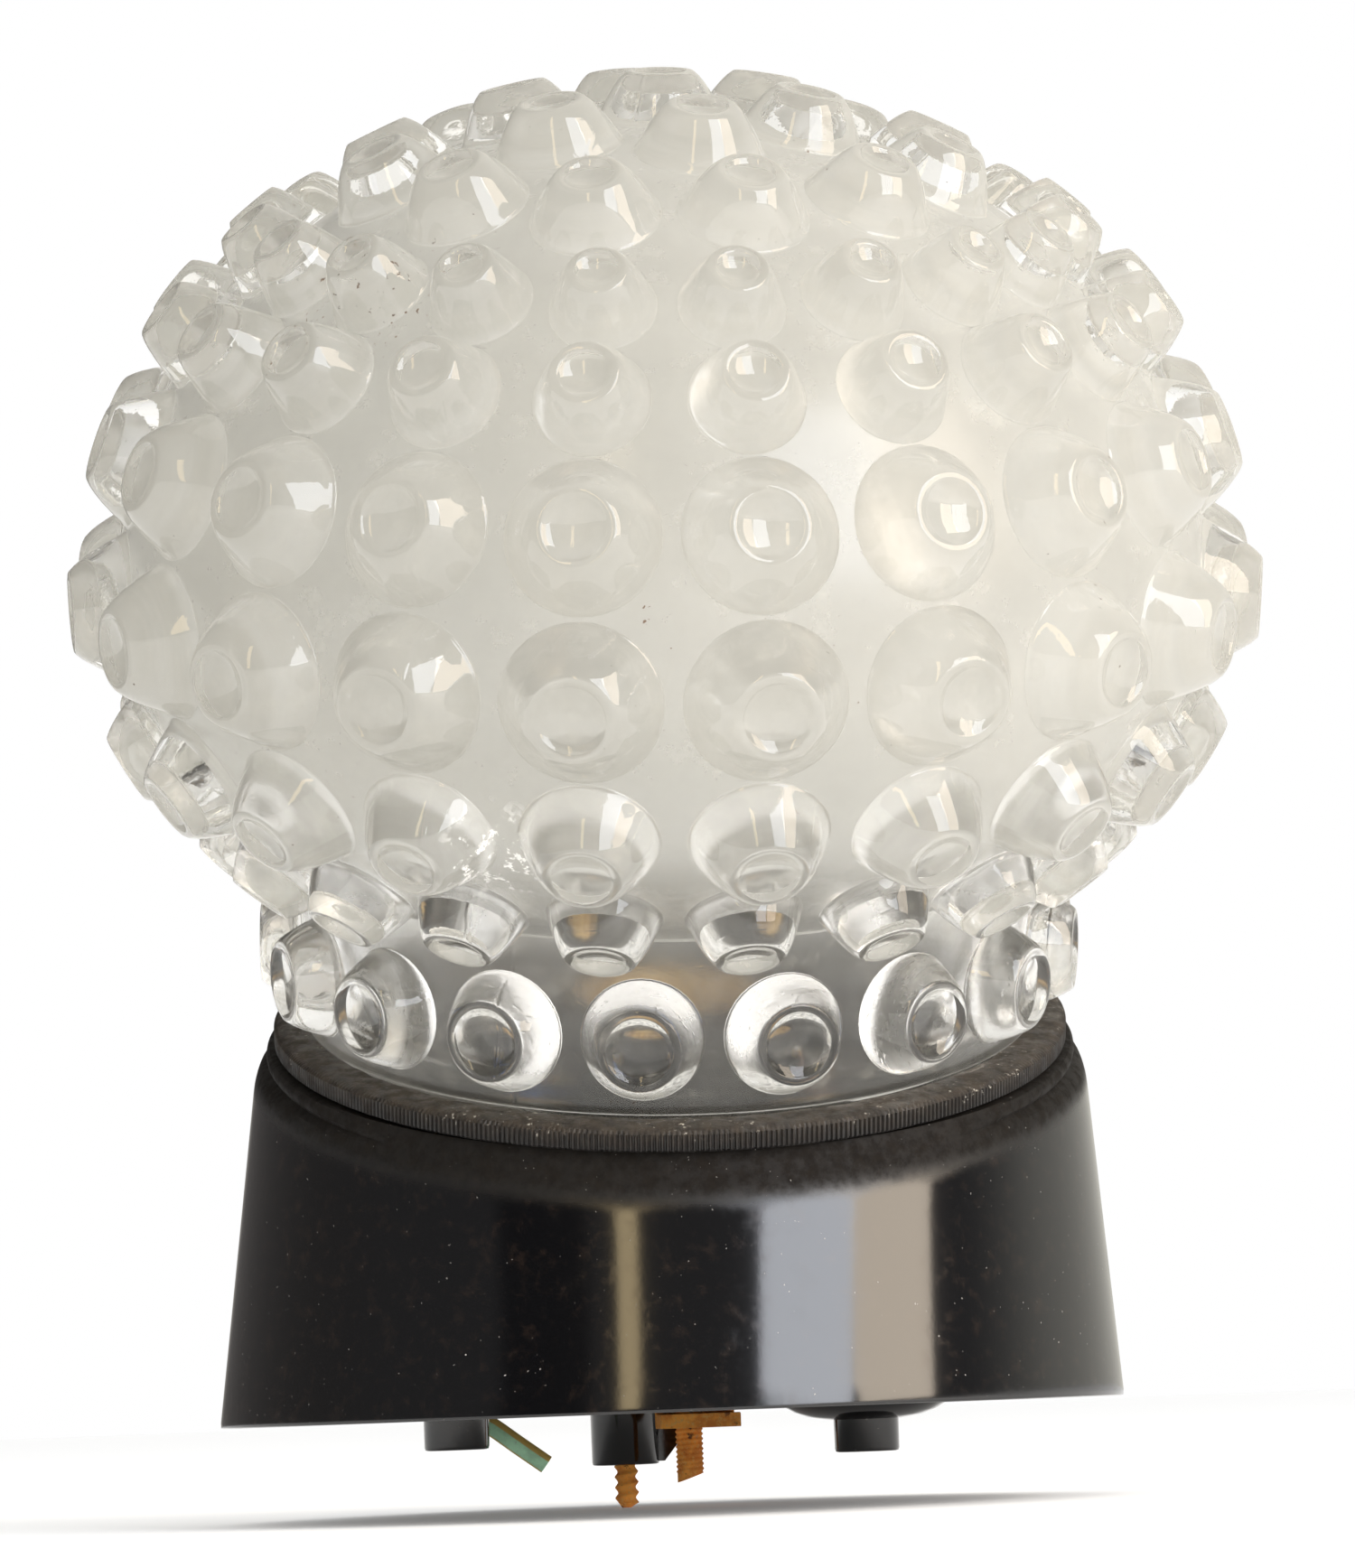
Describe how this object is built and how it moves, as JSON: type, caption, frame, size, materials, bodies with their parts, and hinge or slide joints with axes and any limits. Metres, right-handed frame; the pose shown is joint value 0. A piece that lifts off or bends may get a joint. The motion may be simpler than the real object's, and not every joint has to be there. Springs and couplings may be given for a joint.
{
  "type": "wall lamp",
  "caption": "Globe lamp: bubbled clear glass shade that screws into a slanted black base holding a dark screw lampholder, terminals and an earth stud.",
  "frame": {"origin": "middle of the bounding box in X and Y, at the height of the lowest point (the tip of the mounting screw)", "axes": "+Z away from the wall or ceiling that carries the lamp; the glass leans towards -Y; the mounting rim lies in the plane z = 13.4 mm, centred at y = 22.3 mm"},
  "size_m": [0.1608, 0.1711, 0.1958],
  "materials": {
    "housing_bakelite": "worn gloss, dusty",
    "washer_bakelite": "dull",
    "glass": "clear, slightly milky inside",
    "gasket_rubber": "perished, dusty",
    "holder_bakelite": "dark brown, dusty",
    "brass": "tarnished",
    "zinc_steel": "dull zinc",
    "rusty_steel": "orange rust",
    "copper": "bare copper",
    "earth_pvc": "green with a yellow stripe",
    "live_pvc": "brown",
    "neutral_pvc": "blue"
  },
  "bodies": {
    "base": {"base_housing": "housing_bakelite", "pillar_washer": "washer_bakelite", "lampholder_body": "holder_bakelite", "screw_shell": "brass", "live_strap": "brass", "neutral_strap": "brass", "contact_screw": "zinc_steel", "shell_screw": "zinc_steel", "holder_screw_front": "zinc_steel", "holder_screw_back": "zinc_steel", "holder_nut_front": "zinc_steel", "holder_nut_back": "zinc_steel", "bracket_rivet": "zinc_steel", "earth_bracket": "rusty_steel", "earth_stud": "rusty_steel", "mounting_screw": "rusty_steel", "earth_wire_core": "copper", "live_wire_core": "copper", "neutral_wire_core": "copper", "earth_wire_sleeve": "earth_pvc", "live_wire_sleeve": "live_pvc", "neutral_wire_sleeve": "neutral_pvc"},
    "shade_lift": {"rim_gasket": "gasket_rubber"},
    "shade": {"glass_shade": "glass"},
    "contact": {"centre_contact": "brass"},
    "live_clamp": {"live_clamp_plate": "brass"},
    "live_screw": {"live_terminal_screw": "zinc_steel"},
    "neutral_clamp": {"neutral_clamp_plate": "brass"},
    "neutral_screw": {"neutral_terminal_screw": "zinc_steel"},
    "earth_clamp": {"earth_washer": "zinc_steel"},
    "earth_nut": {"earth_nut": "zinc_steel"}
  },
  "joints": [
    {"name": "shade_rise", "type": "slide", "parent": "base", "child": "shade_lift", "axis": [0, -0.3545, 0.9351], "range_m": [0, 0.01401]},
    {"name": "shade_turn", "type": "hinge", "parent": "shade_lift", "child": "shade", "pos_m": [0, 0.01373, 0.0695], "axis": [0, -0.3545, 0.9351], "range_deg": [0, 720]},
    {"name": "contact_flex", "type": "hinge", "parent": "base", "child": "contact", "pos_m": [0.0045, 0.021, 0.05033], "axis": [0, -0.9351, -0.3545], "range_deg": [0, 12], "stiffness_Nm_per_rad": 0.05},
    {"name": "live_clamp_lift", "type": "slide", "parent": "base", "child": "live_clamp", "axis": [0, -0.3545, 0.9351], "range_m": [0, 0.0015]},
    {"name": "live_screw_turn", "type": "hinge", "parent": "live_clamp", "child": "live_screw", "pos_m": [0.0199, 0.02082, 0.0508], "axis": [0, -0.3545, 0.9351], "range_deg": [0, 1080]},
    {"name": "neutral_clamp_lift", "type": "slide", "parent": "base", "child": "neutral_clamp", "axis": [0, -0.3545, 0.9351], "range_m": [0, 0.0015]},
    {"name": "neutral_screw_turn", "type": "hinge", "parent": "neutral_clamp", "child": "neutral_screw", "pos_m": [-0.0199, 0.02082, 0.0508], "axis": [0, -0.3545, 0.9351], "range_deg": [0, 1080]},
    {"name": "earth_clamp_lift", "type": "slide", "parent": "base", "child": "earth_clamp", "axis": [0, 0, 1], "range_m": [0, 0.0021]},
    {"name": "earth_nut_turn", "type": "hinge", "parent": "earth_clamp", "child": "earth_nut", "pos_m": [0.0024, 0.0403, 0.0178], "axis": [0, 0, 1], "range_deg": [0, 1080]}
  ],
  "couplings": [
    {"joint": "shade_rise", "follows": "shade_turn", "m_per_rad": 0.0011141},
    {"joint": "live_screw_turn", "follows": "live_clamp_lift", "rad_per_m": 12566},
    {"joint": "neutral_screw_turn", "follows": "neutral_clamp_lift", "rad_per_m": 12566},
    {"joint": "earth_nut_turn", "follows": "earth_clamp_lift", "rad_per_m": 8976}
  ]
}
